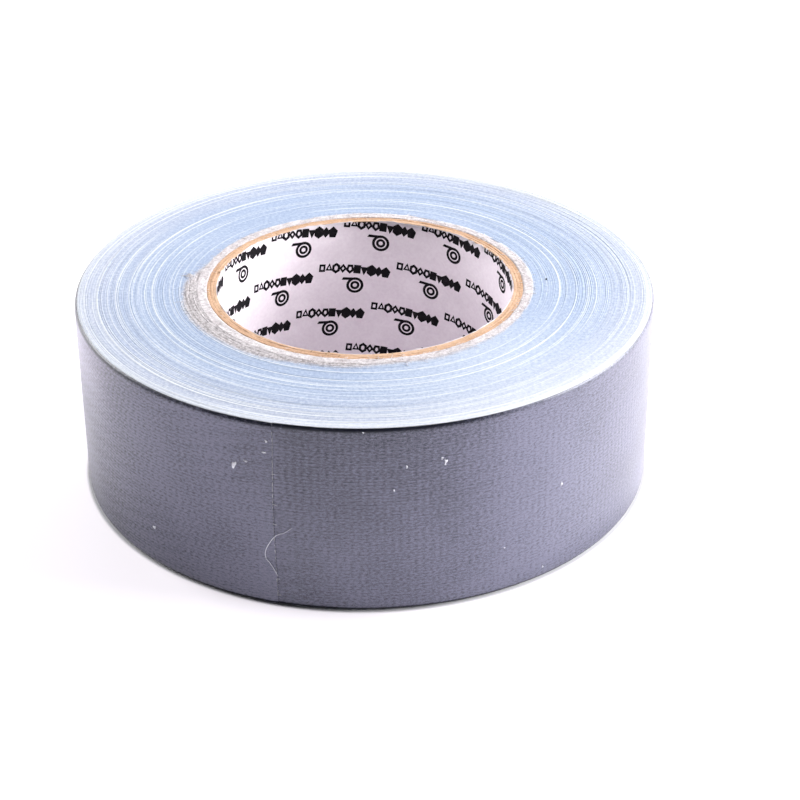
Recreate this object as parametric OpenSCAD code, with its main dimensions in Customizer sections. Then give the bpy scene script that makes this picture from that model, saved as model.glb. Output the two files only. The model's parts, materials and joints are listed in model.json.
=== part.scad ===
// Roll of cloth duct tape on a spiral-wound paperboard core.
// The roll lies flat: its axis is +Z and the origin is on that axis, at the bottom end face.
// The tape is wound clockwise, seen from above, from its free end inwards.
// The free end is the one part that lifts: five short lengths of tape stand in for the flexible strip.

/* [Core] */
// Bore of the core, the standard 3 inch size
core_bore_d = 76; // [50:1:80]
// Thickness of the printed paper that lines the bore
liner_thickness = 0.15; // [0.1:0.05:0.3]
// Thickness of one board ply of the core
board_ply_thickness = 0.8; // [0.5:0.1:1.2]

/* [Tape] */
// Width of the tape, which is the height of the roll lying flat
tape_width = 50; // [24:1:72]
// Outer diameter of the roll, over the free end
roll_d = 148.3; // [110:0.1:180]
// Thickness of the plastic film on the tape's outer face
film_thickness = 0.08; // [0.05:0.01:0.1]
// Thickness of the woven cloth under the film
scrim_thickness = 0.06; // [0.05:0.01:0.1]
// Thickness of the rubber adhesive under the cloth
adhesive_thickness = 0.1; // [0.1:0.01:0.15]
// Number of starter turns pressed onto the core
starter_turn_count = 10; // [4:1:20]

/* [Free end] */
// Direction of the cut end, counter-clockwise from +X, seen from above
free_end_azimuth = -107; // [-180:1:180]
// Length of tape that lifts
free_end_length = 40; // [20:1:60]
// Number of short lengths that stand in for the flexible strip
segment_count = 5; // [2:1:8]
// Room between the lifting tape and the turn under it
lift_gap = 0.06; // [0.05:0.01:0.08]
// Room between one short length and the next
segment_gap = 0.05; // [0.03:0.01:0.08]

/* [Hidden] */
$fn = 240;
LAYERS = ["film", "scrim", "adhesive"];

bore_r = core_bore_d / 2;
board_r = bore_r + liner_thickness;
core_r = board_r + 3 * board_ply_thickness;

tape_thickness = film_thickness + scrim_thickness + adhesive_thickness;
starter_r = core_r + starter_turn_count * tape_thickness;

// The outermost turn is a spiral of two half circles, whose centres lie either side of the axis
// on the line through the cut end. Over one turn its radius falls by one tape thickness.
centre_offset = tape_thickness / 4;
first_half_r = roll_d / 2 - centre_offset;
second_half_r = first_half_r - 2 * centre_offset;

// Depth of each layer's outer face below the outside of the tape, and the layer's thickness
film_depth = 0;
scrim_depth = film_thickness;
adhesive_depth = scrim_depth + scrim_thickness;

// Angles that arc lengths at the outside of the roll subtend
degrees_per_mm = 360 / (2 * PI * first_half_r);
free_end_angle = free_end_length * degrees_per_mm;
segment_angle = free_end_angle / segment_count;
gap_angle = segment_gap * degrees_per_mm;

kraft = "burlywood";
kraft_dark = "tan";
tape_edge = "lightsteelblue";
starter_grey = "gainsboro";
film_grey = "slategray";
cloth_white = "whitesmoke";
adhesive_grey = "silver";
paper_white = "ghostwhite";

// A plain tube standing on the bottom end face
module tube(inner_r, outer_r) {
    difference() {
        cylinder(r = outer_r, h = tape_width);
        translate([0, 0, -1])
            cylinder(r = inner_r, h = tape_width + 2);
    }
}

// Turns to the cut end's direction, so that +X points at the cut end
module facing_free_end() {
    rotate([0, 0, free_end_azimuth])
        children();
}

// A stretch of tape, or of one layer, bent round a centre on the cut end's line
module arc_strip(centre_x, outer_r, thickness, from_angle, to_angle) {
    translate([centre_x, 0, 0])
        rotate([0, 0, from_angle])
            rotate_extrude(angle = to_angle - from_angle)
                translate([outer_r - thickness, 0])
                    square([thickness, tape_width]);
}

// Half of a solid disc, on one side of the cut end's line
module half_disc(centre_x, outer_r, from_angle) {
    arc_strip(centre_x, outer_r, outer_r, from_angle, from_angle + 180);
}

// One layer of the outermost turn, from where the tape starts to lift right round to under the cut end
module last_turn_layer(depth, thickness) {
    facing_free_end() {
        arc_strip(centre_offset, first_half_r - depth, thickness, -180, -free_end_angle - gap_angle);
        arc_strip(-centre_offset, second_half_r - depth, thickness, 0, 180);
    }
}

// One layer of a short length of the free end. Length 1 is at the peel line, the last one at the cut end.
module free_end_layer(i, depth, thickness) {
    start_angle = -free_end_angle + (i - 1) * segment_angle;
    room_after = i < segment_count ? gap_angle : 0;
    facing_free_end()
        arc_strip(
            centre_offset,
            first_half_r - depth,
            thickness,
            start_angle,
            start_angle + segment_angle - room_after
        );
}

module core_liner() {
    color(paper_white)
        tube(bore_r, board_r);
}

// Board plies are counted outwards from the liner
module core_board_ply(number, ply_color) {
    color(ply_color)
        tube(board_r + (number - 1) * board_ply_thickness, board_r + number * board_ply_thickness);
}

module core_inner_ply() {
    core_board_ply(1, kraft);
}

module core_middle_ply() {
    core_board_ply(2, kraft_dark);
}

module core_outer_ply() {
    core_board_ply(3, kraft);
}

module starter_turns() {
    color(starter_grey)
        tube(core_r, starter_r);
}

module wound_turns() {
    color(tape_edge)
        difference() {
            facing_free_end() {
                half_disc(centre_offset, first_half_r - tape_thickness, -180);
                half_disc(-centre_offset, second_half_r - tape_thickness, 0);
            }
            translate([0, 0, -1])
                cylinder(r = starter_r, h = tape_width + 2);
        }
}

module last_turn_film() {
    color(film_grey)
        last_turn_layer(film_depth, film_thickness);
}

module last_turn_scrim() {
    color(cloth_white)
        last_turn_layer(scrim_depth, scrim_thickness);
}

module last_turn_adhesive() {
    color(adhesive_grey)
        last_turn_layer(adhesive_depth, adhesive_thickness);
}

module free_end_film(i) {
    color(film_grey)
        free_end_layer(i, film_depth, film_thickness);
}

module free_end_scrim(i) {
    color(cloth_white)
        free_end_layer(i, scrim_depth, scrim_thickness);
}

// The lifting tape's adhesive is thinner by the room it needs over the turn below
module free_end_adhesive(i) {
    color(adhesive_grey)
        free_end_layer(i, adhesive_depth, adhesive_thickness - lift_gap);
}

core_liner();
core_inner_ply();
core_middle_ply();
core_outer_ply();
starter_turns();
wound_turns();
last_turn_film();
last_turn_scrim();
last_turn_adhesive();
for (i = [1 : segment_count]) {
    free_end_film(i);
    free_end_scrim(i);
    free_end_adhesive(i);
}
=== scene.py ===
import json
from math import cos, degrees, pi, radians, sin, sqrt

import bpy
import numpy as np
from mathutils import Euler, Matrix, Vector


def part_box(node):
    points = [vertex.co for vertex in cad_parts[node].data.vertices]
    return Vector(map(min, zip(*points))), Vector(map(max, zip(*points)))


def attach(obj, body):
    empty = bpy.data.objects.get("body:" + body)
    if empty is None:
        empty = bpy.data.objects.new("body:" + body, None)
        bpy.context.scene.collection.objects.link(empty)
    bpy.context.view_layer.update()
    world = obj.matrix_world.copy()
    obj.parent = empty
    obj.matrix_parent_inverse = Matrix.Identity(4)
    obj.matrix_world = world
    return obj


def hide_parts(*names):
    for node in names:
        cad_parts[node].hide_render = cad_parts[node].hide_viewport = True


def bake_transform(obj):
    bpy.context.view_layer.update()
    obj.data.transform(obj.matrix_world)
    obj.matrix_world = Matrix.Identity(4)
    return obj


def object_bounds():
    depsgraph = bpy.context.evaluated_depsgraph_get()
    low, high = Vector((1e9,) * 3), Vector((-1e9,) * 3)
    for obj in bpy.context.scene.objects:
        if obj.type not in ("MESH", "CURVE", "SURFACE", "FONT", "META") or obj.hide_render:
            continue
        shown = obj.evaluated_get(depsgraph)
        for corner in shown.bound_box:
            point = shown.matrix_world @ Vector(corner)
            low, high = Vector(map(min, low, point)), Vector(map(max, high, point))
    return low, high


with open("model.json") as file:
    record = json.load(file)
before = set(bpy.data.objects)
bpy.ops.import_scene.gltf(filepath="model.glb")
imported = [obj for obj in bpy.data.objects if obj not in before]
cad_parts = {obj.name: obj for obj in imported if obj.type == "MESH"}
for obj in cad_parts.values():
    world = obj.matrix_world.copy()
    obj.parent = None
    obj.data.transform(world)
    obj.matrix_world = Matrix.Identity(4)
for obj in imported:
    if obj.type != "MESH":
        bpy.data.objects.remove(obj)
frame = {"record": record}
cad_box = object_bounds()

# A roll of cloth duct tape lying flat on its paperboard core, with its free end at the front left.
# Lengths are in millimetres, and angles in degrees, until a mesh, a light or the camera is made.
# The strip is followed from its cut end: `turned` is how far it has gone round the roll,
# clockwise from above, and `depth` is how far a point lies under the strip's outer face.

# ---- sizes
MM = 0.001
TAPE_WIDTH = (cad_box[1].z - cad_box[0].z) / MM
MID_HEIGHT = TAPE_WIDTH / 2
BORE_R = next(m for m in frame["record"]["mounts"] if m["name"] == "core_bore")["dims"]["r_mm"]
LINER_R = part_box("core_liner")[1].x / MM
CORE_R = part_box("core_outer_ply")[1].x / MM
STARTER_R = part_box("starter_turns")[1].x / MM

ROLL_R = 74.15
CUT_AZIMUTH = -107.0
FILM, SCRIM, ADHESIVE = 0.08, 0.06, 0.10
TAPE = FILM + SCRIM + ADHESIVE
CENTRE_OFFSET = TAPE / 4
FIRST_HALF_R = ROLL_R - CENTRE_OFFSET
SECOND_HALF_R = FIRST_HALF_R - 2 * CENTRE_OFFSET
MM_PER_DEGREE = radians(FIRST_HALF_R)

FREE_LENGTH = 40.0
FREE_ANGLE = FREE_LENGTH / MM_PER_DEGREE
LENGTHS = 5
LENGTH = FREE_LENGTH / LENGTHS
STARTER_TURN = round((ROLL_R - STARTER_R) / TAPE)

# The rim is pressed inwards over the top and bottom RIM_HEIGHT of the outer turns.
RIM_HEIGHT, RIM_PRESS, RIM_END = 1.3, 0.95, 0.906
EDGE_BEND = RIM_PRESS * (1 - sqrt(1 - RIM_END ** 2))
EDGE_DROP = RIM_HEIGHT * (1 - RIM_END)

# The cloth's threads print through the film. Warp threads run along the strip, and weft threads across it.
WARP_PITCH, WEFT_PITCH = 0.91, 1.8755
WARP_SHARE, WEFT_SHARE, UNEVEN_SHARE = 0.46, 0.38, 0.13
FILM_RELIEF = 0.055
SWELL = 0.009
SMOOTH_BAND = 4.5
CUT_BOW, CUT_RAGGED = 0.45, 0.07


# ---- shapes that repeat
def ripple(seed, *coords, waves=7):
    """A smooth random function, mostly between -1 and 1, with features about 3 units apart."""
    rng = np.random.default_rng(seed)
    total = 0.0
    for _ in range(waves):
        phase = rng.uniform(0, 2 * pi)
        for c in coords:
            phase = phase + rng.normal(0, 1.2) * c
        total = total + np.sin(phase)
    return total / sqrt(waves)


def smoothstep(low, high, value):
    t = np.clip((value - low) / (high - low), 0, 1)
    return t * t * (3 - 2 * t)


def polar(radius, azimuth, z):
    """Points at a radius and azimuth about the roll's axis."""
    a = np.radians(azimuth)
    return np.stack(np.broadcast_arrays(radius * np.cos(a), radius * np.sin(a), z), -1)


def spiral(turned, depth, z):
    """Points along the strip. Each half turn is a half circle, as in the frame's solids."""
    turn, rest = np.divmod(turned, 360.0)
    first = rest <= 180
    radius = np.where(first, FIRST_HALF_R, SECOND_HALF_R) - turn * TAPE - depth
    centre = np.where(first, CENTRE_OFFSET, -CENTRE_OFFSET)
    return polar(centre, CUT_AZIMUTH, 0.0) + polar(radius, CUT_AZIMUTH - rest, z)


def rim_bend(turned, z):
    """How far the strip is pressed inwards at a height, which eases off over a few turns."""
    beyond = np.abs(z - MID_HEIGHT) - (MID_HEIGHT - RIM_HEIGHT)
    u = np.clip(beyond / RIM_HEIGHT, 0, RIM_END)
    return RIM_PRESS * (1 - np.sqrt(1 - u * u)) * np.exp(-turned / 360 / 4)


def unit(vectors):
    return vectors / np.linalg.norm(vectors, axis=-1, keepdims=True)


def circle(count):
    return np.linspace(0, 2 * pi, count, endpoint=False)


def grid_quads(rows, columns, closed_rows=False, closed_columns=False):
    """Quads over a grid of rows x columns points, numbered row by row."""
    r = np.arange(rows if closed_rows else rows - 1)
    c = np.arange(columns if closed_columns else columns - 1)
    r, c = [a.ravel() for a in np.meshgrid(r, c, indexing="ij")]
    r2, c2 = (r + 1) % rows, (c + 1) % columns
    return np.stack([r * columns + c, r2 * columns + c, r2 * columns + c2, r * columns + c2], -1)


def add_object(name, data):
    made = bpy.data.objects.new(name, data)
    bpy.context.scene.collection.objects.link(made)
    return made


def make_piece(name, points, faces, material, attributes=None, normals=None, smooth=True):
    """A mesh from points in millimetres. Each array of faces has its own count of corners."""
    mesh = bpy.data.meshes.new(name)
    points = points.reshape(-1, 3)
    corners = np.concatenate([f.ravel() for f in faces]).astype(np.int32)
    counts = np.concatenate([np.full(len(f), f.shape[1]) for f in faces])
    mesh.vertices.add(len(points))
    mesh.vertices.foreach_set("co", (points * MM).astype(np.float32).ravel())
    mesh.loops.add(len(corners))
    mesh.loops.foreach_set("vertex_index", corners)
    mesh.polygons.add(len(counts))
    starts = np.concatenate([[0], np.cumsum(counts)[:-1]]).astype(np.int32)
    mesh.polygons.foreach_set("loop_start", starts)
    mesh.polygons.foreach_set("use_smooth", np.full(len(counts), smooth))
    for key, values in (attributes or {}).items():
        kind, field = ("FLOAT_VECTOR", "vector") if key == "place" else ("FLOAT", "value")
        values = np.asarray(values, np.float32).ravel()
        mesh.attributes.new(key, kind, "POINT").data.foreach_set(field, values)
    mesh.update(calc_edges=True)
    mesh.materials.append(material)
    if normals is not None:
        mesh.normals_split_custom_set_from_vertices(normals.reshape(-1, 3).tolist())
    return add_object(name, mesh)


def settle(piece, body, slot, *nodes):
    """Rides the piece on its body, and lets it stand for its CAD nodes, if any. The slot, which would name
    its finish, is not used.
    """
    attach(piece, body)
    finish(piece, slot, *nodes)


def finish(piece, slot, *nodes):
    if nodes:
        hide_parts(*nodes)


def lathe(name, profile_r, profile_z, columns, material, shift, shades=None):
    """A closed ring about the roll's axis. shift(azimuth, r, z) returns the radius and height to use."""
    azimuth = np.linspace(0, 360, columns, endpoint=False)[:, None]
    r = np.broadcast_to(profile_r, (columns, len(profile_r)))
    z = np.broadcast_to(profile_z, r.shape)
    r, z = shift(azimuth, r, z)
    attributes = shades(azimuth, r, z) if shades else {}
    quads = grid_quads(columns, r.shape[1], closed_rows=True, closed_columns=True)
    return make_piece(name, polar(r, azimuth, z), [quads], material, attributes)


def stacks(name, solids, material, flip=False, smooth=True):
    """Closed solids, each a stack of rings of points. `flip` turns their faces the other way out."""
    quads, caps, start = [], {}, 0
    for rings in solids:
        rows, sides = rings.shape[:2]
        corners = start + np.arange(sides)
        quads.append(start + grid_quads(rows, sides, closed_columns=True)[:, ::-1])
        caps.setdefault(sides, []).extend([corners[::-1], corners + sides * (rows - 1)])
        start += rows * sides
    faces = [np.concatenate(quads), *map(np.array, caps.values())]
    if flip:
        faces = [f[:, ::-1] for f in faces]
    points = np.concatenate([rings.reshape(-1, 3) for rings in solids])
    return make_piece(name, points, faces, material, smooth=smooth)


def tubes(name, paths, radii, material, sides=5):
    """Round threads along paths, tapered to their ends."""
    solids = []
    turns = circle(sides)
    for path, radius in zip(paths, radii):
        along = unit(np.gradient(path, axis=0))
        side = unit(np.cross(along, (0.3, 0.2, 0.93)))
        other = np.cross(along, side)
        taper = radius * np.sqrt(np.clip(1 - np.linspace(-0.98, 0.98, len(path)) ** 6, 0, 1))
        ring = side[:, None] * np.cos(turns)[:, None] + other[:, None] * np.sin(turns)[:, None]
        solids.append(path[:, None] + ring * taper[:, None, None])
    return stacks(name, solids, material)


# ---- materials
def new_material(name):
    material = bpy.data.materials.new(name)
    material.use_nodes = True
    return material, material.node_tree


def put(tree, socket, value):
    """Sets a socket, or links another node's output to it."""
    if isinstance(value, bpy.types.NodeSocket):
        tree.links.new(value, socket)
    else:
        socket.default_value = value


def node(tree, kind, inputs, **settings):
    """Adds a node. inputs maps a socket's name or number to a value or to another node's output."""
    made = tree.nodes.new("ShaderNode" + kind)
    for key, value in settings.items():
        setattr(made, key, value)
    for key, value in inputs.items():
        put(tree, made.inputs[key], value)
    return made


def calculate(tree, operation, a, b=0.0):
    return node(tree, "Math", {0: a, 1: b}, operation=operation).outputs[0]


def remap(tree, value, low, high, to_low, to_high):
    inputs = {"Value": value, "From Min": low, "From Max": high, "To Min": to_low, "To Max": to_high}
    return node(tree, "MapRange", inputs).outputs[0]


def blend_colours(tree, factor, a, b):
    """a where factor is 0, and b where it is 1. A colour is three numbers or a socket."""
    inputs = {0: factor}
    for key, colour in ((6, a), (7, b)):
        inputs[key] = colour if isinstance(colour, bpy.types.NodeSocket) else (*colour, 1)
    return node(tree, "Mix", inputs, data_type="RGBA").outputs[2]


def placed_material(name):
    """A material, its nodes, and the place on the object in metres."""
    material, tree = new_material(name)
    return material, tree, node(tree, "TexCoord", {}).outputs["Object"]


def strip_material(name):
    """The same, with the place along the strip in millimetres and the height of its relief."""
    material, tree, position = placed_material(name)
    return material, tree, position, attribute(tree, "place", "Vector"), attribute(tree, "relief")


def noise(tree, vector, scale, detail=3.0, roughness=0.6, stretch=(1, 1, 1)):
    moved = node(tree, "Mapping", {"Vector": vector, "Scale": stretch}).outputs[0]
    inputs = {"Vector": moved, "Scale": scale, "Detail": detail, "Roughness": roughness}
    return node(tree, "TexNoise", inputs).outputs["Fac"]


def spread(tree, value, low, high):
    """Brings a noise's usual range to low..high."""
    return remap(tree, value, 0.3, 0.7, low, high)


def mottle(tree, value, *noises):
    """Adds noises to a value, each given as (noise, low, high)."""
    for added, low, high in noises:
        value = calculate(tree, "ADD", value, spread(tree, added, low, high))
    return value


def attribute(tree, name, output="Fac"):
    return node(tree, "Attribute", {}, attribute_name=name).outputs[output]


def bump(tree, height, strength, distance):
    made = node(tree, "Bump", {"Height": height, "Strength": strength, "Distance": distance})
    feed(tree, Normal=made.outputs[0])


def feed(tree, **sockets):
    """Sets or links the shader's sockets, with an underscore for a space in their names."""
    for key, value in sockets.items():
        put(tree, tree.nodes["Principled BSDF"].inputs[key.replace("_", " ")], value)


def film_material():
    """Silver-grey polyethylene film, with the cloth's weave printing through it, and painted shade carried
    in its relief.
    """
    material, tree, _, place, relief = strip_material("silver_film")
    clouds = noise(tree, place, 0.09, 4.0, 0.6)
    dashes = noise(tree, place, 1.5, 3.0, 0.7, (0.75, 1.7, 1))
    grain = noise(tree, place, 4.5, 2.0, 0.7)
    # worn is the weave's tone with the painted shade and slow painted light of face_grid, not wear.
    worn = remap(tree, relief, -0.8, 0.8, -1.2, 0.42)
    tone = mottle(tree, worn, (clouds, 0.25, 0.5), (dashes, -0.65, 0.75), (grain, -0.42, 0.45))
    tone = remap(tree, tone, -0.5, 1.0, 0.0, 1.0)
    colour = blend_colours(tree, tone, (0.006, 0.007, 0.018), (0.205, 0.203, 0.292))
    # Where the painted rim shade is deepest, the film is painted near black: a painted contact shadow.
    colour = blend_colours(tree, remap(tree, relief, -0.5, -1.3, 0, 1), colour, (0.005, 0.006, 0.013))
    rough = mottle(tree, spread(tree, grain, 0.34, 0.46), (clouds, -0.05, 0.05))
    feed(tree, Base_Color=colour, Roughness=rough, IOR=1.5, Specular_Tint=(0.82, 0.86, 1.0, 1))
    feed(tree, Coat_Weight=0.55, Coat_Roughness=0.28, Coat_IOR=1.5)
    height = calculate(tree, "ADD", dashes, calculate(tree, "MULTIPLY", grain, 0.5))
    bump(tree, height, 0.8, 0.00006)
    return material


def tape_edge_material():
    """Cut edges of the wound turns: pale blue film and adhesive, with whiter turns where the cloth shows,
    and painted highlights on the face.
    """
    material, tree, position, place, relief = strip_material("tape_edges")
    grain = noise(tree, position, 1100, 3.0, 0.75)
    streaks = noise(tree, place, 1.0, 4.0, 0.65, (0.08, 1.0, 2.3))
    breaks = noise(tree, place, 1.0, 3.0, 0.6, (0.16, 1.0, 1.2))
    clouds = noise(tree, position, 60, 3.0, 0.5)
    tone = remap(tree, relief, 0, 1, 0.05, 0.35)
    tone = mottle(tree, tone, (streaks, -0.15, 0.35), (grain, -0.45, 0.5), (clouds, -0.1, 0.1))
    blue = blend_colours(tree, tone, (0.39, 0.49, 0.70), (0.64, 0.73, 0.90))
    lilac = blend_colours(tree, tone, (0.46, 0.51, 0.68), (0.76, 0.79, 0.90))
    turn = node(tree, "SeparateXYZ", {"Vector": place}).outputs["Z"]
    outer = remap(tree, turn, 15, 75, 0.85, 0.0)
    outer = calculate(tree, "ADD", outer, remap(tree, streaks, 0.35, 0.65, -0.35, 0.35))
    blue = blend_colours(tree, outer, blue, lilac)
    whiter = remap(tree, breaks, 0.35, 0.6, 0.5, 1.15)
    whiter = calculate(tree, "MULTIPLY", attribute(tree, "whiteness"), whiter)
    whiter = calculate(tree, "ADD", whiter, remap(tree, grain, 0.35, 0.75, -0.08, 0.12))
    colour = blend_colours(tree, whiter, blue, (0.93, 0.96, 1.0))
    specks = remap(tree, grain, 0.32, 0.62, 0, 1)
    grey = blend_colours(tree, specks, (0.38, 0.335, 0.35), (0.90, 0.85, 0.875))
    colour = blend_colours(tree, attribute(tree, "fluff"), colour, grey)
    feed(tree, Base_Color=colour, Roughness=spread(tree, grain, 0.6, 0.8), IOR=1.38)
    bump(tree, grain, 0.5, 0.00006)
    return material


def starter_material():
    """The first turns' edges: fluffed cloth and torn paper, whitish with grey specks."""
    material, tree, position = placed_material("starter_fluff")
    grain = noise(tree, position, 1300, 4.0, 0.75)
    clots = noise(tree, position, 300)
    relief = attribute(tree, "relief")
    tone = mottle(tree, remap(tree, relief, 0, 1, -0.2, 0.3), (grain, -0.2, 0.8), (clots, 0.0, 0.45))
    colour = blend_colours(tree, tone, (0.49, 0.42, 0.44), (0.97, 0.925, 0.95))
    feed(tree, Base_Color=colour, Roughness=0.8, IOR=1.4)
    bump(tree, grain, 0.5, 0.00008)
    return material


def board_material(name, dark, light):
    """Kraft board: short fibres laid round the core, with a few dark shives."""
    material, tree, position = placed_material(name)
    fibres = noise(tree, position, 1400, 4.0, 0.7)
    patches = noise(tree, position, 140)
    shives = remap(tree, noise(tree, position, 700, 1.0, 0.5), 0.66, 0.74, 0, 0.6)
    tone = mottle(tree, spread(tree, fibres, -0.1, 0.7), (patches, 0, 0.4))
    colour = blend_colours(tree, tone, dark, light)
    colour = blend_colours(tree, shives, colour, (0.30, 0.14, 0.07))
    feed(tree, Base_Color=colour, Roughness=spread(tree, fibres, 0.75, 0.92), IOR=1.4)
    bump(tree, fibres, 0.5, 0.0001)
    return material


def paper_material():
    """White liner paper, faintly lilac, with the mottle of its fibres."""
    material, tree, position = placed_material("liner_paper")
    fibres = noise(tree, position, 1200, 4.0, 0.7)
    clouds = noise(tree, position, 150)
    tone = mottle(tree, spread(tree, fibres, 0, 0.5), (clouds, 0, 0.5))
    colour = blend_colours(tree, tone, (0.83, 0.745, 0.815), (0.97, 0.905, 0.955))
    feed(tree, Base_Color=colour, Roughness=spread(tree, clouds, 0.55, 0.7), IOR=1.45)
    bump(tree, fibres, 0.25, 0.00006)
    return material


def ink_material():
    material, tree, position = placed_material("print_ink")
    grain = noise(tree, position, 1500, 3.0, 0.7)
    worn = remap(tree, grain, 0.55, 0.75, 0, 1)
    colour = blend_colours(tree, worn, (0.004, 0.003, 0.005), (0.03, 0.026, 0.032))
    feed(tree, Base_Color=colour, Roughness=spread(tree, grain, 0.6, 0.8), IOR=1.25)
    return material


def adhesive_material():
    """Rubber adhesive over the cloth, which shows through it as paler threads."""
    material, tree, _, place, relief = strip_material("adhesive_on_cloth")
    lumps = noise(tree, place, 1.6)
    clouds = noise(tree, place, 0.12)
    # The relief here also carries face_grid's painted rim shade and slow painted light.
    tone = remap(tree, relief, 0.1, 0.9, 0, 0.8)
    tone = mottle(tree, tone, (lumps, -0.15, 0.2), (clouds, -0.1, 0.1))
    colour = blend_colours(tree, tone, (0.42, 0.43, 0.45), (0.72, 0.72, 0.73))
    feed(tree, Base_Color=colour, Roughness=spread(tree, lumps, 0.22, 0.36), IOR=1.52)
    bump(tree, lumps, 0.4, 0.00005)
    return material


def thread_material(name, dark, light):
    """Cotton and polyester yarn, lint and paper fluff."""
    material, tree, position = placed_material(name)
    strands = noise(tree, position, 2500, 2.0, 0.6)
    colour = blend_colours(tree, spread(tree, strands, 0, 1), dark, light)
    feed(tree, Base_Color=colour, Roughness=0.7, IOR=1.45)
    bump(tree, strands, 0.4, 0.00003)
    return material


FILM_LOOK = film_material()
EDGE_LOOK = tape_edge_material()
STARTER_LOOK = starter_material()
BOARD_LOOKS = [
    board_material("kraft_pale", (0.68, 0.42, 0.27), (0.94, 0.67, 0.48)),
    board_material("kraft_mid", (0.62, 0.37, 0.23), (0.89, 0.61, 0.42)),
    board_material("kraft_warm", (0.58, 0.33, 0.20), (0.88, 0.59, 0.40)),
]
PAPER_LOOK = paper_material()
INK_LOOK = ink_material()
ADHESIVE_LOOK = adhesive_material()
YARN_LOOK = thread_material("scrim_yarn", (0.62, 0.63, 0.66), (0.88, 0.88, 0.90))
DARK_LOOK = thread_material("dark_fibre", (0.02, 0.02, 0.03), (0.10, 0.10, 0.12))
LINT_LOOK = thread_material("white_lint", (0.86, 0.86, 0.94), (0.93, 0.93, 0.99))
FLUFF_LOOK = thread_material("paper_fluff", (0.74, 0.70, 0.72), (0.95, 0.915, 0.935))


# ---- the film, its cloth and its adhesive
def weave(turned, z):
    """The cloth's print-through, 0 in its hollows to 1 on its highest threads.
    The threads across the strip print through less on the left of the roll than elsewhere."""
    s = turned * MM_PER_DEGREE
    azimuth = np.mod(CUT_AZIMUTH - turned, 360)
    s_here = s + 0.13 * ripple(11, s / 9, z / 4)
    z_here = z + 0.06 * ripple(12, s / 16, z / 3)
    warp = np.cos(pi * z_here / WARP_PITCH)
    weft = np.cos(pi * s_here / WEFT_PITCH)
    over = warp * weft
    strength = 1.15 * np.clip(0.75 + 0.3 * ripple(13, s / 14, z / 7), 0.3, 1.0)
    woven = smoothstep(SMOOTH_BAND - 0.4, SMOOTH_BAND + 0.4, s)
    threads = WARP_SHARE * warp ** 2 * (0.62 + 0.38 * over)
    flattened = np.interp(azimuth, (180, 225, 262, 360), (0.35, 0.45, 1, 1))
    crossing = woven * WEFT_SHARE * flattened * np.abs(weft) ** 1.5 * (0.62 - 0.38 * over)
    uneven = UNEVEN_SHARE * (0.4 + 0.6 * woven) * ripple(16, s / 0.42, z / 0.2, waves=18)
    return np.clip(0.2 + strength * (threads + crossing) + uneven, 0, 1)


def swell(turned, z):
    """Slow unevenness of a turn's outer face."""
    s = turned * MM_PER_DEGREE
    return SWELL * np.clip(1 + ripple(14, s / 13, z / 8), 0, 2.2) * np.sin(pi * z / TAPE_WIDTH)


def cut_line(turned, z):
    """Moves the last 6 mm of strip so that its cut end bows inwards and is a little ragged."""
    s = turned * MM_PER_DEGREE
    bow = CUT_BOW * np.sin(pi * z / TAPE_WIDTH) ** 2 + CUT_RAGGED * ripple(15, z / 0.3)
    return turned + bow / MM_PER_DEGREE * np.clip(1 - s / 6, 0, 1) ** 2


def face_heights():
    """Heights of the rows across the outer face, close together round the two rims."""
    rim = RIM_HEIGHT * (1 - np.sin(np.radians(13 * np.arange(5, 0, -1))))
    rows = int((TAPE_WIDTH - 2 * RIM_HEIGHT) / (WARP_PITCH / 5))
    middle = np.linspace(RIM_HEIGHT, TAPE_WIDTH - RIM_HEIGHT, rows)
    return np.concatenate([rim, middle, (TAPE_WIDTH - rim)[::-1]])


HEIGHTS = face_heights()
COLUMN_MM = 4 / 13
FREE_COLUMNS = 130
ROLL_COLUMNS = round((360 - FREE_ANGLE) * MM_PER_DEGREE / COLUMN_MM)
UNDER_COLUMNS = FREE_COLUMNS + 3
COLUMNS = np.concatenate([
    np.linspace(0, FREE_ANGLE, FREE_COLUMNS, endpoint=False),
    np.linspace(FREE_ANGLE, 360, ROLL_COLUMNS, endpoint=False),
    360 + np.arange(UNDER_COLUMNS + 1) * COLUMN_MM / MM_PER_DEGREE,
])


def grid_normals(points, flip):
    n = unit(np.cross(np.gradient(points, axis=0), np.gradient(points, axis=1)))
    return -n if flip else n


def painted_rim_shade(azimuth, z):
    """How much painted shade darkens the two rims, mostly at the front and left of the roll, as a contact
    shadow below.
    """
    at = (0, 120, 180, 200, 285, 305, 330, 360)
    top = np.interp(azimuth, at, (0.1, 0.3, 0.7, 0.82, 0.8, 0.25, 0.12, 0.1))
    bottom = np.interp(azimuth, at, (0.9, 1.2, 1.8, 2.0, 1.8, 1.4, 1.0, 0.9))
    return top * smoothstep(TAPE_WIDTH - 1.5, TAPE_WIDTH - 0.6, z) + bottom * (1 - smoothstep(0.35, 1.1, z))


def slow_tone_and_painted_light(azimuth, z):
    """Slow differences in the film, partly its own tone and partly painted light and shade:
    paler left of the cut and at the right, darker near the top in front.
    """
    paler = np.interp(azimuth, (212, 228, 249, 257, 286, 297, 308, 322), (0, 0.3, 0.3, 0, 0, 0.3, 0.2, 0))
    darker = np.interp(azimuth, (244, 256, 278, 300), (0, 0.46, 0.4, 0)) * smoothstep(14, 44, z)
    return paler - darker


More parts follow.
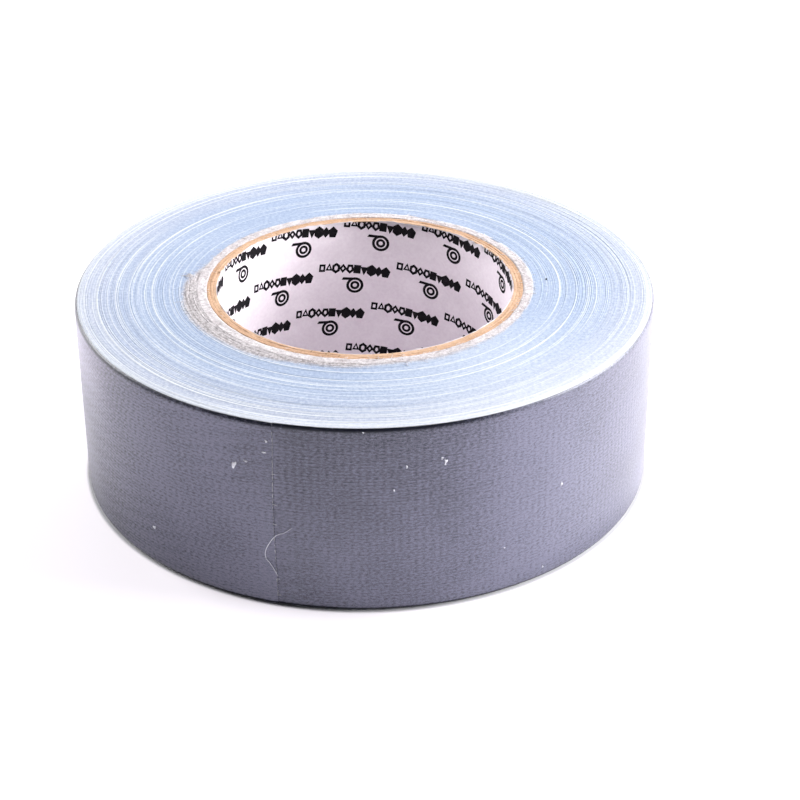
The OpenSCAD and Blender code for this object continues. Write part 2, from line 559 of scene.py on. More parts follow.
def face_grid(turned, inner):
    """The film's outer face, or the adhesive's inner face: its points, outward normals, shade and places.
    The shade follows the relief, partly as painted shade whose strength round the roll follows the light.
    It is paler on the smooth last band, carries the slow painted light, and has painted shade on the two
    rims."""
    turned, z = np.meshgrid(turned, HEIGHTS, indexing="ij")
    turned = cut_line(turned, z)
    relief = weave(turned, z)
    rise = FILM_RELIEF * (1 - relief)
    if inner:
        depth = TAPE - 0.02 - 0.5 * rise
    else:
        depth = rise + swell(turned, z)
    points = spiral(turned, depth + rim_bend(turned, z), z)
    places = np.stack([turned * MM_PER_DEGREE, z, np.full_like(z, 5.0 * inner)], -1)
    azimuth = np.mod(CUT_AZIMUTH - turned, 360)
    # The weave's shade is painted stronger or weaker round the roll, to follow how the light shows it.
    painted_weave_contrast_at = (0, 180, 208, 235, 262, 282, 305, 360)
    painted_weave_contrast = np.interp(azimuth, painted_weave_contrast_at, (1.1, 2.0, 2.5, 1.8, 0.95, 0.7, 0.8, 1.1))
    last_band = 0.2 * smoothstep(SMOOTH_BAND + 0.3, SMOOTH_BAND - 0.3, turned * MM_PER_DEGREE)
    # Painted shade darkens the rims here, near black at the bottom as a painted contact shadow.
    shade = 0.5 + painted_weave_contrast * (relief - 0.5) + last_band + slow_tone_and_painted_light(azimuth, z) - painted_rim_shade(azimuth, z)
    return points, grid_normals(points, flip=not inner), shade, places


def layer(name, columns, thickness, face, material, inner=False):
    """One layer of the strip between two columns, closed on every side. Its detailed face looks outwards,
    or inwards for the adhesive, and its plain face lies `thickness` behind it."""
    points, normals, relief, places = [a[columns[0]:columns[1] + 1] for a in face]
    count, rows = relief.shape
    outwards = unit(points * (1, 1, 0))
    sign = 1 if inner else -1
    at_cut = columns[0] == 0
    back_rows = np.arange(rows)[::-1]
    if not at_cut:
        back_rows = np.concatenate([back_rows[:6], back_rows[-6:]])
    back = (points + sign * thickness * outwards)[:, back_rows]
    width = rows + len(back_rows)
    quads = grid_quads(count, width, closed_columns=True)[:, ::sign]
    corner = np.arange(width)
    cap = corner[None]
    if at_cut:
        back_corner = corner[rows:][::-1]
        cap = np.stack([corner[:rows - 1], corner[1:rows], back_corner[1:], back_corner[:-1]], -1)
    caps = np.concatenate([cap[:, ::sign] + count * width, cap[:, ::-sign] + (count + 1) * width])
    along = np.stack([-outwards[:, 0, 1], outwards[:, 0, 0], np.zeros(count)], -1)
    end_normals = [np.broadcast_to(along[0], (width, 3)), np.broadcast_to(-along[-1], (width, 3))]
    face_normals = np.concatenate([normals, (sign * outwards)[:, back_rows]], 1)

    def with_ends(front, behind):
        ring = np.concatenate([front, behind], 1)
        return np.concatenate([ring.reshape((-1,) + ring.shape[2:]), ring[0], ring[-1]])

    attributes = {
        "relief": with_ends(relief, relief[:, back_rows]),
        "place": with_ends(places, places[:, back_rows]),
    }
    # The cut end's cap is painted a little darker: painted shade.
    if at_cut:
        attributes["relief"][-2 * width:-width] -= 0.1
    all_normals = np.concatenate([face_normals.reshape(-1, 3), *end_normals])
    return make_piece(name, with_ends(points, back), [quads, caps], material, attributes, all_normals)


def plain_layer(name, start, stop, depth, thickness, material):
    """A layer of which only the edges show, closed on every side."""
    turned = np.linspace(start, stop, max(8, int((stop - start) * MM_PER_DEGREE / 1.2)))[:, None]
    z = np.concatenate([HEIGHTS[:5:2], HEIGHTS[5:-5:3], HEIGHTS[-5::2]])
    depths = np.repeat([depth, depth + thickness], len(z))
    z = np.concatenate([z, z[::-1]])
    moved = cut_line(turned, z)
    moved = moved + (turned == 0) * (0.03 + 0.05 * ripple(17, z / 0.3)) / MM_PER_DEGREE
    points = spiral(moved, depths + rim_bend(moved, z), z)
    seed = np.full(moved.shape, 9.0)
    places = np.stack([moved * MM_PER_DEGREE, np.broadcast_to(z, moved.shape), seed], -1)
    count, width = moved.shape
    quads = grid_quads(count, width, closed_columns=True)[:, ::-1]
    ends = np.array([np.arange(width)[::-1], np.arange(width) + (count - 1) * width])
    attributes = {"place": places, "relief": np.full(moved.shape, 0.5)}
    return make_piece(name, points, [quads, ends], material, attributes, smooth=False)


# Ends of the free end's pieces, as columns from the cut end. The first from the peel line is half a length,
# because each piece spans the hinge in its middle, from the middle of one length to that of the next.
HALF = FREE_COLUMNS // (2 * LENGTHS)
SEAMS = [FREE_COLUMNS] + [FREE_COLUMNS - HALF * (2 * k - 1) for k in range(1, LENGTHS)] + [0]


def strip_point(from_peel):
    """A point on the outer face, at mid height, a length in millimetres from the peel line."""
    turned = (FREE_LENGTH - from_peel) / MM_PER_DEGREE
    return tuple(spiral(turned, 0.0, MID_HEIGHT) * MM)


def bend_with(piece, k, slot, *nodes):
    """Bakes the piece's place into its points, and lets it stand for its CAD nodes, if any."""
    hinge = (k - 1) * LENGTH
    start = strip_point(hinge - (0 if k == 1 else LENGTH / 2))
    strip_point(hinge + LENGTH / 2)
    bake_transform(piece)
    finish(piece, slot, *nodes)


def make_strip():
    """The last turn, the free end, and the turn that shows when the free end is lifted."""
    film_face = face_grid(COLUMNS, inner=False)
    inner_face = face_grid(COLUMNS[:FREE_COLUMNS + 1], inner=True)
    for k in range(1, LENGTHS + 1):
        near, far = SEAMS[k], SEAMS[k - 1]
        film = layer(f"free_end_film_length_{k}", (near, far), FILM, film_face, FILM_LOOK)
        name = f"free_end_adhesive_length_{k}"
        glue = layer(name, (near, far), ADHESIVE - 0.03, inner_face, ADHESIVE_LOOK, inner=True)
        name = f"free_end_scrim_length_{k}"
        cloth = plain_layer(name, COLUMNS[near], COLUMNS[far], FILM, SCRIM, YARN_LOOK)
        bend_with(film, k, "tape_film", f"free_end_film_{k}")
        bend_with(cloth, k, "scrim_cloth", f"free_end_scrim_{k}")
        bend_with(glue, k, "adhesive", f"free_end_adhesive_{k}")
    sectors = 6
    last = FREE_COLUMNS + ROLL_COLUMNS
    ends = [round(c) for c in np.linspace(FREE_COLUMNS, last, sectors + 1)]
    for i, columns in enumerate(zip(ends, ends[1:]), 1):
        piece = layer(f"last_turn_film_sector_{i}", columns, FILM, film_face, FILM_LOOK)
        settle(piece, "roll", "tape_film", "last_turn_film")
    under = layer("wound_turns_film_under_free_end", (last, len(COLUMNS) - 1), FILM, film_face, FILM_LOOK)
    settle(under, "roll", "tape_film", "wound_turns")
    cloth = plain_layer("last_turn_scrim_ring", FREE_ANGLE, 360, FILM, SCRIM, YARN_LOOK)
    settle(cloth, "roll", "scrim_cloth", "last_turn_scrim")
    glue = plain_layer(
        "last_turn_adhesive_ring", FREE_ANGLE, 360, FILM + SCRIM, ADHESIVE - 0.01, ADHESIVE_LOOK
    )
    settle(glue, "roll", "adhesive", "last_turn_adhesive")


# ---- the wound turns' cut edges
EDGE_STEP = 1.5
ROWS_PER_TURN = 3
TURN_COLUMNS = round(360 / EDGE_STEP)
GROOVE = (-0.028, 0.0, -0.01)
WHITE_TURNS = (10, 24, 29, 35, 46, 55, 61, 67, 76, 82, 84, 94, 104, 111)


def fluff_radius(azimuth):
    """How far out the fluffed starter turns reach, all round the core."""
    at = (0, 60, 150, 165, 178, 195, 215, 240, 270, 320, 360)
    reach = (42.5, 42.2, 42.6, 43.6, 46.2, 47.5, 47.4, 46.2, 44.4, 43.0, 42.5)
    wrapped = np.mod(azimuth, 360)
    return np.interp(wrapped, at, reach) + 0.25 * ripple(21, wrapped / 9)


def white_turns(turned, across):
    """Turns whose cloth shows white, each along a part of the way round."""
    turn = turned / 360 + across
    azimuth = np.mod(CUT_AZIMUTH - turned, 360)
    rng = np.random.default_rng(22)
    total = np.zeros(np.broadcast(turned, across).shape)
    arcs = []
    for bright in WHITE_TURNS:
        arcs.append((bright, rng.uniform(120, 290), rng.uniform(35, 80), rng.uniform(0.6, 1.0)))
    for _ in range(90):
        arcs.append((rng.uniform(2, 118), rng.uniform(0, 360), rng.uniform(15, 50), rng.uniform(0.3, 0.8)))
    for centre_turn, centre, reach, level in arcs:
        away = np.abs(np.mod(azimuth - centre + 180, 360) - 180)
        width = rng.uniform(0.5, 0.9)
        total += level * np.exp(-((turn - centre_turn) / width) ** 2) * np.exp(-(away / reach) ** 4)
    return total


def edge_surface(turned, across):
    """The end face's height over the turns' nominal edge, and the shades that go with it."""
    turn = turned / 360 + across
    s = turned / 360 * 2 * pi * (60 - TAPE * turn / 2)
    profile = np.interp(np.mod(across * ROWS_PER_TURN, ROWS_PER_TURN), (0, 1, 2, 3), (*GROOVE, GROOVE[0]))
    uneven = 0.03 * ripple(23, turn / 2.2, s / 60) + 0.02 * ripple(24, turn * 2.1, s / 9)
    azimuth = CUT_AZIMUTH - turned
    radius = ROLL_R - TAPE * turn
    edge = radius - fluff_radius(azimuth) + 0.5 * ripple(27, s / 0.5, radius / 1.5)
    fluff = 1 - smoothstep(-0.9, 0.7, edge)
    rough = fluff * (0.07 * ripple(25, s / 0.8, radius / 0.3) + 0.03)
    wrapped = np.mod(azimuth, 360)
    levels = (0.95, 1.3, 1.3, 0.72, 0.75, 1.0, 1.0, 0.95)
    white = white_turns(turned, across) * np.interp(wrapped, (0, 60, 150, 185, 225, 260, 320, 360), levels)
    # Painted highlights on the end face: a sheen towards the right front, and on the outer turns at the
    # back.
    painted_sheen = 0.3 * np.exp(-((wrapped - 303) / 26) ** 2)
    painted_sheen = painted_sheen + 0.7 * np.exp(-turn / 9) * np.exp(-((wrapped - 85) / 50) ** 4)
    rim = 0.55 * np.exp(-turn / 16) + 0.5 * np.exp(-turn / 4) + painted_sheen
    height = profile * (0.8 + 0.3 * ripple(26, turn * 1.3, s / 12)) + uneven + rough + 0.02 * white
    height = height - EDGE_DROP * np.exp(-turn / 1.5)
    whiteness = white + rim
    relief = (profile - min(GROOVE)) / -min(GROOVE)
    return height, {"relief": relief, "whiteness": whiteness, "fluff": fluff}


def wound_half(name, top):
    """The upper or lower half of the wound turns: one strip spiralling inwards from under the last turn."""
    columns = (STARTER_TURN - 1) * TURN_COLUMNS
    steps = (360 + np.arange(columns + TURN_COLUMNS + 1) * EDGE_STEP)[:, None]
    across = (np.arange(ROWS_PER_TURN) / ROWS_PER_TURN)[None]
    height, shades = edge_surface(steps, across)
    depth = across * TAPE + EDGE_BEND * np.exp(-(steps / 360 + across) / 4)
    turned = np.broadcast_to(steps, depth.shape)
    z = TAPE_WIDTH + height if top else -height * 0.6
    points = spiral(turned, depth, z)
    c, r = [a.ravel() for a in np.meshgrid(np.arange(columns), np.arange(ROWS_PER_TURN), indexing="ij")]

    def number(column, row):
        wraps = row == ROWS_PER_TURN
        return (column + TURN_COLUMNS * wraps) * ROWS_PER_TURN + np.where(wraps, 0, row)

    quads = np.stack([number(c, r), number(c, r + 1), number(c + 1, r + 1), number(c + 1, r)], -1)
    # The walls, the floor and the two steps where the strip starts and ends make the half a closed ring.
    points = points.reshape(-1, 3)
    outer = np.arange(TURN_COLUMNS + 1) * ROWS_PER_TURN
    inner = outer + columns * ROWS_PER_TURN
    floor_points = np.concatenate([points[outer[:-1]], points[inner[:-1]]])
    floor_points[:, 2] = MID_HEIGHT
    out_floor = len(points) + np.append(np.arange(TURN_COLUMNS), 0)
    in_floor = out_floor + TURN_COLUMNS
    walls = [
        np.stack([outer[:-1], outer[1:], out_floor[1:], out_floor[:-1]], -1),
        np.stack([inner[1:], inner[:-1], in_floor[:-1], in_floor[1:]], -1),
        np.stack([out_floor[:-1], out_floor[1:], in_floor[1:], in_floor[:-1]], -1),
    ]
    across_step = np.arange(ROWS_PER_TURN)
    steps_down = np.stack([
        np.concatenate([outer[-1:], outer[0] + across_step[::-1], out_floor[:1]]),
        np.concatenate([inner[0] + across_step, inner[-1:], in_floor[:1]]),
    ])
    faces = [np.concatenate([quads, *walls]), steps_down]
    if not top:
        faces = [f[:, ::-1] for f in faces]

    def with_floor(values):
        flat = np.broadcast_to(values, turned.shape).reshape(-1)
        return np.concatenate([flat, np.zeros(len(floor_points))])

    place = (turned * MM_PER_DEGREE, 3.0 if top else 7.0, depth / TAPE + turned / 360)
    attributes = {key: with_floor(values) for key, values in shades.items()}
    attributes["place"] = np.stack([with_floor(values) for values in place], -1)
    piece = make_piece(name, np.concatenate([points, floor_points]), faces, EDGE_LOOK, attributes)
    settle(piece, "roll", "tape_edge", "wound_turns")


def make_starter():
    """The first turns on the core, as one ring with fluffed edges."""
    rows = 14
    outer = STARTER_R + 0.18
    face = np.linspace(outer, CORE_R + 0.02, rows)
    profile_r = np.concatenate([face, face[::-1]])
    profile_z = np.concatenate([np.full(rows, TAPE_WIDTH), np.zeros(rows)])

    def shift(azimuth, r, z):
        s = np.radians(azimuth) * 42
        top = z > MID_HEIGHT
        rough = 0.045 * ripple(31, s / 0.9, r / 0.35) + 0.04 * ripple(32, s / 4, r / 1.0) + 0.03
        rough = rough - 0.22 * np.exp(-((r - CORE_R) / 0.16) ** 2)
        return r, z + np.where(top, rough, -0.5 * np.abs(rough))

    def shades(azimuth, r, z):
        height = np.where(z > MID_HEIGHT, z - TAPE_WIDTH, -z)
        return {"relief": np.clip(0.5 + height / 0.4, 0, 1)}

    piece = lathe("starter_turns_ring", profile_r, profile_z, 900, STARTER_LOOK, shift, shades)
    settle(piece, "roll", "starter_tape", "starter_turns")


def strand(radius, azimuth, headings, length, lift, rise):
    """A fibre on the upper end face that arches up by `rise`. `headings` are the directions of its steps."""
    a = np.radians(headings)
    moves = np.stack([np.cos(a), np.sin(a)], -1) * length / (len(a) - 1)
    xy = polar(radius, azimuth, 0.0)[:2] + np.cumsum(moves, 0)
    z = TAPE_WIDTH + lift + rise * np.sin(np.linspace(0, pi, len(a)))
    return np.concatenate([xy, z[:, None]], 1)


def make_fluff():
    """Loose fibres of cloth and paper standing in the starter turns' edges."""
    rng = np.random.default_rng(41)
    paths, radii = [], []
    for _ in range(900):
        azimuth = rng.uniform(0, 360)
        radius = CORE_R + 0.1 + (fluff_radius(azimuth) - CORE_R) * rng.uniform(0, 1) ** 0.8
        length = rng.uniform(0.5, 2.2)
        headings = azimuth + 90 + rng.normal(0, 65) + rng.normal(0, 60) * np.linspace(0, 1, 6)
        paths.append(strand(radius, azimuth, headings, length, 0.06, 0.14 * rng.uniform(0.2, 1.3)))
        radii.append(rng.uniform(0.02, 0.05))
    piece = tubes("starter_fluff", paths, radii, FLUFF_LOOK, sides=4)
    settle(piece, "roll", "starter_tape")


# ---- the core and its printed liner
def make_core():
    """Three board plies, sawn across, with slightly soft corners."""
    plies = ("core_inner_ply", "core_middle_ply", "core_outer_ply")
    ply = (CORE_R - LINER_R) / len(plies)
    for i, name in enumerate(plies):
        inner_r = LINER_R + i * ply + 0.015
        outer_r = inner_r + ply - 0.03
        soft = 0.07
        across = np.array([0, 0.25, 0.7, 1.5, 2.5, 3.5, 4.3, 4.75, 5]) / 5
        face_r = outer_r + (inner_r - outer_r) * across
        drop = soft * (2 * np.abs(across - 0.5)) ** 8
        profile_r = np.concatenate([face_r, face_r[::-1]])
        profile_z = np.concatenate([TAPE_WIDTH - drop, drop])

        def shift(azimuth, r, z, seed=50 + i):
            s = np.radians(azimuth) * 39
            saw = 0.05 * ripple(seed, s / 1.3, r / 0.25) + 0.05 * ripple(seed + 5, s / 8, r / 2)
            return r, z + np.where(z > MID_HEIGHT, saw - 0.06, 0.05 - 0.4 * saw)

        piece = lathe(name + "_board", profile_r, profile_z, 720, BOARD_LOOKS[i], shift)
        settle(piece, "roll", "core_board", name)


def liner_r(azimuth, z):
    """The inner face of the liner, a little uneven, as glued paper is."""
    s = np.radians(np.mod(azimuth, 360)) * BORE_R
    return BORE_R + 0.02 + 0.02 * ripple(61, s / 7, z / 6)


def make_liner():
    """The paper liner, with a slightly torn edge at each end."""
    rows = 27
    z = np.linspace(TAPE_WIDTH, 0.0, rows)
    profile_z = np.concatenate([z, z[[-1, 0]]])
    profile_r = np.concatenate([np.full(rows, BORE_R), np.full(2, LINER_R)])

    def shift(azimuth, r, z):
        s = np.radians(azimuth) * BORE_R
        bitten = np.exp(-((np.mod(azimuth + 160, 360) - 180) / 16) ** 2)
        bitten = bitten + np.exp(-((azimuth - 162) / 10) ** 2)
        torn = (0.10 + 0.6 * bitten) * ripple(62, s / 0.8) + 0.12 * ripple(63, s / 5) - 0.3 * bitten
        end = np.abs(z / MID_HEIGHT - 1) ** 12
        moved = z + end * np.where(z > MID_HEIGHT, torn - 0.05, np.abs(torn) * 0.5)
        return np.where(r < (BORE_R + LINER_R) / 2, liner_r(azimuth, z), r), moved

    piece = lathe("core_liner_paper", profile_r, profile_z, 600, PAPER_LOOK, shift)
    settle(piece, "roll", "liner_paper", "core_liner")


# The liner's print: plain shapes in slanted lines, with a small roll of tape beneath each.
WORDS_ROUND = 11
WORD_STEP = 360 / WORDS_ROUND
WORD_LENGTH, WORD_SLANT = 19.8, -7.6
ROW_TOP, ROW_STEP, ROWS = 48.4, 12.75, 5
FIRST_WORD_END, ROW_SHIFT = 101.5, 11.0
STROKE = 0.68
SHAPE_SIZES = (3.2, 3.0, 3.3, 2.8, 3.1, 3.6, 3.3, 3.7, 3.2, 3.6)


def outline(sides, size, tilt, squash=1.0):
    a = np.radians(tilt) + circle(sides)
    return np.stack([np.cos(a) * size / 2 * squash, np.sin(a) * size / 2], -1)


def word_shapes():
    """One line's shapes and the figure beneath it, as (outer outline, inner outline or None)."""
    kinds = (4, 3, 6, 4, 5)
    tilts = (45, 90, 30, 0, -90)
    shapes = []
    for i, size in enumerate(SHAPE_SIZES):
        sides, tilt = kinds[i % 5], tilts[i % 5] + 180 * (i > 4)
        x = (i - 4.5) * WORD_LENGTH / len(SHAPE_SIZES)
        outer = outline(sides, size, tilt, 0.78) + (x, 0)
        inner = outline(sides, size - 2.6 * STROKE, tilt, 0.68) + (x, 0) if i < 5 else None
        shapes.append((outer, inner))
    middle = np.array([0.9, -4.9])
    shapes.append((outline(22, 4.8, 0) + middle, outline(22, 3.3, 0) + middle))
    shapes.append((outline(16, 2.6, 0) + middle, outline(16, 1.2, 0) + middle))
    tail = np.array([(-3.9, 1.4), (-3.5, 2.2), (0.2, 2.3), (0.2, 1.6)])
    shapes.append((tail + middle, None))
    return shapes


def clip_heights(points):
    """The part of a polygon of (azimuth, z) points below the liner's top edge and above its bottom one."""
    for limit, keep in ((TAPE_WIDTH - 0.2, -1), (0.2, 1)):
        kept = []
        for a, b in zip(points, np.roll(points, -1, 0)):
            inside_a, inside_b = keep * (a[1] - limit) >= 0, keep * (b[1] - limit) >= 0
            if inside_a:
                kept.append(a)
            if inside_a != inside_b:
                kept.append(a + (b - a) * (limit - a[1]) / (b[1] - a[1]))
        points = np.array(kept)
        if len(points) < 3:
            return None
    return points


def make_print():
    """Every shape is a thin prism of ink, 0.03 mm proud of the paper."""
    slant = radians(WORD_SLANT)
    turn = np.array([[cos(slant), sin(slant)], [-sin(slant), cos(slant)]])
    prisms = []
    for row in range(ROWS):
        for word in range(WORDS_ROUND):
            end = FIRST_WORD_END - word * WORD_STEP + row * ROW_SHIFT
            middle_azimuth = end + degrees(WORD_LENGTH / 2 / BORE_R)
            for outer, inner in word_shapes():
                rings = [outer]
                if inner is not None:
                    rings = np.stack([outer, np.roll(outer, -1, 0), np.roll(inner, -1, 0), inner], 1)
                for ring in rings:
                    flat = ring @ turn
                    azimuth = middle_azimuth - np.degrees(flat[:, 0] / BORE_R)
                    z = ROW_TOP - row * ROW_STEP + flat[:, 1]
                    clipped = clip_heights(np.stack([azimuth, z], -1))
                    if clipped is not None:
                        azimuth, z = clipped.T
                        r = liner_r(azimuth, z)
                        prisms.append(np.stack([polar(r - 0.03, azimuth, z), polar(r + 0.01, azimuth, z)]))
    piece = stacks("core_liner_print", prisms, INK_LOOK, flip=True, smooth=False)
    settle(piece, "roll", "liner_paper")


# ---- lint, a hair and frayed threads
def flecks(name, places, seed):
    """Irregular bits of lint, each of three lumps. Each place is (turned, height, width, length)."""
    rng = np.random.default_rng(seed)
    scales, lifts = (1.0, 0.9, 0.55, 0.1), (-0.03, 0.05, 0.10, 0.12)
    a = circle(14)
    solids = []
    for turned, z, wide, tall in places:
        for share in (1.0, 0.6, 0.45):
            offset = rng.normal(0, 0.35, 2) * (wide, tall) * (share < 1)
            lean, phase = rng.uniform(-0.6, 0.6), rng.uniform(0, 6, 2)
            wobble = share * (1 + 0.25 * np.sin(2 * a + phase[0]) + 0.18 * np.sin(3 * a + phase[1]))
            rings = []
            for scale, lift in zip(scales, lifts):
                x = scale * wobble * np.cos(a) * wide / 2
                y = scale * wobble * np.sin(a) * tall / 2
                t = turned + (offset[0] + x * cos(lean) - y * sin(lean)) / MM_PER_DEGREE
                h = z + offset[1] + x * sin(lean) + y * cos(lean)
                rings.append(spiral(t, rim_bend(t, h) - lift * min(1.0, wide * 2), h))
            solids.append(np.stack(rings))
    return stacks(name, solids, LINT_LOOK, flip=True)


def make_lint():
    on_tip = [(7.6, 37.1, 1.0, 1.8), (5.3, 38.8, 0.9, 0.35), (1.6, 42.1, 1.1, 0.4), (1.1, 45.2, 0.5, 0.8)]
    bend_with(flecks("lint_on_free_end_tip", on_tip, 71), LENGTHS, "scrim_cloth")
    on_root = [(27.7, 10.6, 0.9, 0.7)]
    bend_with(flecks("lint_on_free_end_root", on_root, 72), 1, "scrim_cloth")
    on_roll = [
        (336.0, 39.7, 0.35, 0.6), (338.3, 33.5, 0.4, 0.5), (343.7, 49.1, 0.5, 0.3), (329.6, 41.0, 0.5, 0.4),
        (328.9, 39.9, 0.6, 1.1), (304.3, 24.7, 0.5, 0.9), (308.2, 2.9, 0.35, 0.6), (317.0, 12.4, 0.25, 0.3),
        (60.0, 21.0, 0.4, 0.5), (118.0, 31.0, 0.5, 0.3), (171.0, 14.0, 0.3, 0.6), (233.0, 38.0, 0.4, 0.4),
    ]
    settle(flecks("lint_on_last_turn", on_roll, 73), "roll", "scrim_cloth")


def face_fibres(name, material, strands):
    """Short fibres lying on the upper end face. Each is (radius, azimuth, heading, length, thickness)."""
    wave = 25 * np.sin(3 * np.linspace(0, 1, 7))
    paths, radii = [], []
    for radius, azimuth, heading, length, thickness in strands:
        paths.append(strand(radius, azimuth, heading + wave, length, 0.05, 0.12))
        radii.append(thickness / 2)
    piece = tubes(name, paths, radii, material)
    settle(piece, "roll", "starter_tape")


def make_face_fibres():
    """A dark speck on the right of the end face, and a tuft of torn cloth on the left."""
    rng = np.random.default_rng(77)
    face_fibres("dark_speck", DARK_LOOK, [(46.8, 0.6, 80, 0.9, 0.22), (46.5, 1.0, 40, 0.5, 0.2)])
    tuft = []
    for _ in range(14):
        radius, azimuth = 44.4 + rng.uniform(0, 0.6), 173.5 + rng.uniform(-1.5, 1.5)
        tuft.append((radius, azimuth, 150 + rng.normal(0, 12), rng.uniform(1.2, 2.8), 0.14))
    face_fibres("torn_cloth_tuft", FLUFF_LOOK, tuft)


def over_roll(turned, lift, z):
    """Points a little over, or under, the roll's full radius, whichever turn lies beneath."""
    points = spiral(np.mod(turned, 360), 0.0, z)
    radius = np.linalg.norm(points[:, :2], axis=1)
    return points + points * (1, 1, 0) * ((ROLL_R + lift) / radius - 1)[:, None]


def smooth_path(points, steps):
    """A Catmull-Rom curve through a few points."""
    p = np.asarray(points, float)
    p = np.concatenate([2 * p[:1] - p[1:2], p, 2 * p[-1:] - p[-2:-1]])
    t = np.linspace(0, 1, steps, endpoint=False)[:, None]
    parts = []
    for i in range(1, len(p) - 2):
        a, b, c, d = p[i - 1:i + 3]
        square, cube = 2 * a - 5 * b + 4 * c - d, 3 * b - a - 3 * c + d
        parts.append(b + 0.5 * ((c - a) * t + square * t ** 2 + cube * t ** 3))
    return np.concatenate(parts + [p[-2:-1]])


def make_hair():
    """A stray hair stuck to the cut end, with one end over the turn beneath. Points are (turned, height)."""
    route = [(-3.2, 22.5), (-1.7, 20.9), (-0.7, 20.3), (0.3, 19.2), (1.5, 16.7), (2.1, 14.6), (2.0, 13.0),
             (1.3, 11.8), (0.6, 10.4), (-0.2, 8.3)]
    path = smooth_path(route, 8)
    lift = 0.09 + 0.05 * np.sin(np.linspace(0, 9, len(path)))
    points = over_roll(path[:, 0], lift, path[:, 1])
    piece = tubes("stray_hair", [points], [0.08], LINT_LOOK, sides=8)
    settle(piece, "free_end_5", "scrim_cloth")


LONG_FRAYS = (2.8, 7.4, 23.0, 28.1, 36.6)


def make_frays():
    """Ends of the cloth's threads that stick out past the cut."""
    rng = np.random.default_rng(81)
    paths, radii = [], []
    for z in np.arange(1.0, TAPE_WIDTH - 0.9, WARP_PITCH):
        long_end = min(abs(z - height) for height in LONG_FRAYS) < WARP_PITCH / 2
        reach = rng.uniform(0.6, 1.1) if long_end else rng.uniform(0.05, 0.25)
        start = float(cut_line(np.array(0.0), np.array(z)))
        t = np.linspace(0.35, -reach, 7) / MM_PER_DEGREE + start
        height = z + rng.normal(0, 0.25) * np.linspace(0, 1, 7) ** 2
        sink = np.linspace(0.10, 0.02 if long_end else 0.16, 7)
        paths.append(over_roll(t, -sink, height))
        radii.append(0.07 if long_end else 0.035)
    piece = tubes("frayed_thread_ends", paths, radii, YARN_LOOK)
    settle(piece, "free_end_5", "scrim_cloth")


# ---- floor, light and camera
def make_stage():
    bpy.ops.mesh.primitive_plane_add(size=8)
    floor = bpy.context.object
    floor.name = "floor"
    material, tree, position = placed_material("floor_white")
    away = node(tree, "VectorMath", {0: position}, operation="LENGTH").outputs["Value"]
    # The glow fades to nothing within about a millimetre of the roll's edge: a painted contact shadow on the
    # floor.
    glow = remap(tree, away, (ROLL_R + 0.1) * MM, (ROLL_R + 0.95) * MM, 0.0, 0.6)
    glow = calculate(tree, "ADD", glow, remap(tree, away, 0.3, 1.2, 0.0, 0.5))
    feed(tree, Base_Color=(0.88, 0.87, 0.90, 1), Roughness=0.6)
    feed(tree, Emission_Color=(1.0, 0.94, 1.0, 1), Emission_Strength=glow)
    floor.data.materials.append(material)


def floor_card(name, start, stop, near, far, density, glow=0.0):
    """A soft-edged card on the floor, between two azimuths and two distances from the roll. The camera
    doesn't see it. A black one keeps the floor's light off the roll's side, and a glowing one adds to it."""
    columns, rows = 48, 14
    along, out = np.meshgrid(np.linspace(0, 1, columns), np.linspace(0, 1, rows), indexing="ij")
    points = polar(ROLL_R + near + (far - near) * out, start + (stop - start) * along, 0.3)
    fade = np.sin(pi * out) if glow else (1 - out) ** 1.3
    cover = density * np.sin(pi * along) * fade
    material, tree = new_material(name + "_card")
    feed(tree, Base_Color=(0.01, 0.01, 0.01, 1), Roughness=0.9, Alpha=attribute(tree, "cover"))
    feed(tree, Emission_Color=(0.92, 0.86, 1, 1), Emission_Strength=glow)
    card = make_piece(name, points, [grid_quads(columns, rows)], material, {"cover": cover.ravel()})
    card.visible_camera = False
    card.visible_shadow = False


def area_lamp(name, size, power, place, shape="SQUARE"):
    """A lamp that the camera doesn't see. Its size is in metres and its power in watts."""
    data = bpy.data.lights.new(name, "AREA")
    data.shape = shape
    data.size = size
    data.energy = power
    lamp = add_object(name, data)
    lamp.matrix_world = place
    lamp.visible_camera = False


def softbox(name, azimuth, elevation, power):
    """A square lamp, 0.6 m wide and a metre from the roll, aimed at its middle."""
    turn = Euler((0, radians(elevation - 90), radians(azimuth + 180))).to_matrix().to_4x4()
    middle = Matrix.Translation((0, 0, MID_HEIGHT * MM))
    area_lamp(name + "_softbox", 0.6, power, middle @ turn @ Matrix.Translation((0, 0, 1)))


def make_core_fill():
    """A dim lamp that fills the mouth of the bore and lights only its inside."""
    mouth = Matrix.Translation((0, 0, (TAPE_WIDTH - 0.5) * MM))
    area_lamp("core_fill", 2 * (BORE_R - 3) * MM, 0.006, mouth, "DISK")


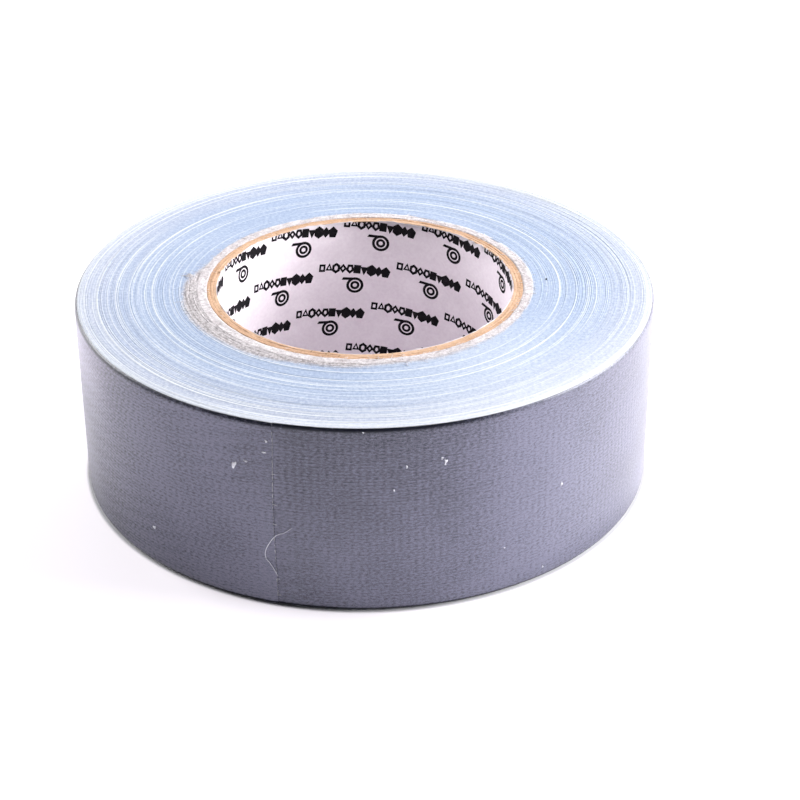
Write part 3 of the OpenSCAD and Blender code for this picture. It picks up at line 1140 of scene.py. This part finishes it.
def make_world():
    """White to the camera, and a dim fill as light."""
    world = bpy.data.worlds.new("studio")
    bpy.context.scene.world = world
    world.use_nodes = True
    tree = world.node_tree
    tree.nodes.clear()
    lit = node(tree, "Background", {"Color": (0.93, 0.95, 1, 1), "Strength": 0.05})
    seen = node(tree, "Background", {"Color": (1, 1, 1, 1), "Strength": 1.1})
    camera_ray = node(tree, "LightPath", {}).outputs["Is Camera Ray"]
    mixed = node(tree, "MixShader", {0: camera_ray, 1: lit.outputs[0], 2: seen.outputs[0]})
    node(tree, "OutputWorld", {"Surface": mixed.outputs[0]})


def swing(a, b, angle):
    """Turns two square axes towards each other by an angle in degrees."""
    c, s = cos(radians(angle)), sin(radians(angle))
    return a * c + b * s, b * c - a * s


def make_camera():
    """A 91 mm lens half a metre away and 29 degrees up, aimed a little off the roll's centre."""
    distance, elevation = 0.53307, radians(28.817)
    pan, tilt, roll = 0.9447, -0.9027, -0.7092
    data = bpy.data.cameras.new("camera")
    data.sensor_width = 36
    data.lens = 91.143
    camera = add_object("camera", data)
    forward = Vector((0, cos(elevation), -sin(elevation)))
    right = Vector((1, 0, 0))
    up = right.cross(forward)
    forward, right = swing(forward, right, pan)
    forward, up = swing(forward, up, tilt)
    right, up = swing(right, up, roll)
    place = Vector((0, -distance * cos(elevation), distance * sin(elevation) + MID_HEIGHT * MM))
    turn = Matrix((right, up, -forward)).transposed().to_4x4()
    camera.matrix_world = Matrix.Translation(place) @ turn
    data.clip_start, data.clip_end = 0.01, 20
    bpy.context.scene.camera = camera


make_strip()
wound_half("wound_turns_upper_half", top=True)
wound_half("wound_turns_lower_half", top=False)
make_starter()
make_fluff()
make_core()
make_liner()
make_print()
make_lint()
make_face_fibres()
make_hair()
make_frays()

make_stage()
floor_card("left_flag", 176, 254, 0.4, 46, 0.55)
floor_card("right_flag", 290, 345, 0.4, 12, 0.6)
floor_card("left_glow", 140, 184, 34, 96, 1.0, glow=2.05)
make_world()
make_core_fill()
softbox("right", 0, 22, 14.6)
softbox("back_right", 30, 25, 7.7)
softbox("back_left", 150, 25, 8.7)
softbox("back", 90, 50, 1.4)
make_camera()
bpy.context.scene.view_settings.view_transform = "Standard"
